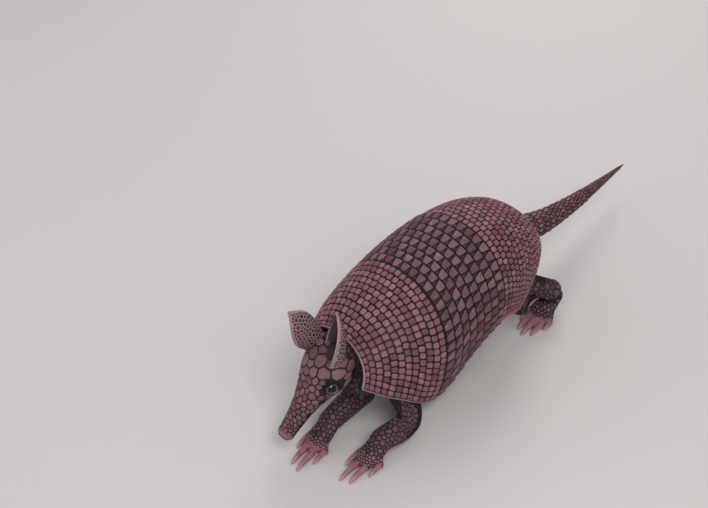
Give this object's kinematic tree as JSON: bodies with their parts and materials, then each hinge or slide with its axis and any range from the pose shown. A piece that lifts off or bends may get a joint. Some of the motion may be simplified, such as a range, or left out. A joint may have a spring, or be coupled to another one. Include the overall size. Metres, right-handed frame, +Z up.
{
  "type": "nine-banded armadillo, life-size still model",
  "caption": "Nine-banded armadillo crouched to dig: nose lowered, forefeet reached out together, hind feet braced and tail trailing.",
  "frame": {"origin": "on the floor, under the middle of the model's bounding box", "axes": "+Z up; the animal faces -Y, its left side is +X and its tail points to +Y"},
  "size_m": [0.1736, 0.6494, 0.1693],
  "materials": {
    "shield": "horny scutes, dry and slightly worn",
    "band": "horny scutes, dry",
    "head_plate": "horny irregular plates",
    "skin": "leathery skin with small scales and sparse hair",
    "ear": "thin pebbled leather",
    "claw": "horn, slightly glossy",
    "eye": "wet gloss",
    "tail": "horny rings"
  },
  "bodies": {
    "root": {"trunk": "skin", "neck": "skin", "head": "skin", "jaw": "skin", "head_shield": "head_plate", "ear_left": "ear", "ear_right": "ear", "eye_left": "eye", "eye_right": "eye", "shoulder_shield": "shield", "band_1": "band", "band_2": "band", "band_3": "band", "band_4": "band", "band_5": "band", "band_6": "band", "band_7": "band", "band_8": "band", "hip_shield": "shield", "foreleg_left": "skin", "foreleg_right": "skin", "hindleg_left": "skin", "hindleg_right": "skin", "forefoot_left": "skin", "forefoot_right": "skin", "hindfoot_left": "skin", "hindfoot_right": "skin", "claw_forefoot_left_1": "claw", "claw_forefoot_left_2": "claw", "claw_forefoot_left_3": "claw", "claw_forefoot_left_4": "claw", "claw_forefoot_right_1": "claw", "claw_forefoot_right_2": "claw", "claw_forefoot_right_3": "claw", "claw_forefoot_right_4": "claw", "claw_hindfoot_left_1": "claw", "claw_hindfoot_left_2": "claw", "claw_hindfoot_left_3": "claw", "claw_hindfoot_left_4": "claw", "claw_hindfoot_left_5": "claw", "claw_hindfoot_right_1": "claw", "claw_hindfoot_right_2": "claw", "claw_hindfoot_right_3": "claw", "claw_hindfoot_right_4": "claw", "claw_hindfoot_right_5": "claw", "tail_ring_1": "tail", "tail_ring_2": "tail", "tail_ring_3": "tail", "tail_ring_4": "tail", "tail_ring_5": "tail", "tail_ring_6": "tail", "tail_ring_7": "tail", "tail_ring_8": "tail", "tail_ring_9": "tail", "tail_ring_10": "tail", "tail_ring_11": "tail", "tail_ring_12": "tail", "tail_tip": "tail"}
  },
  "joints": []
}
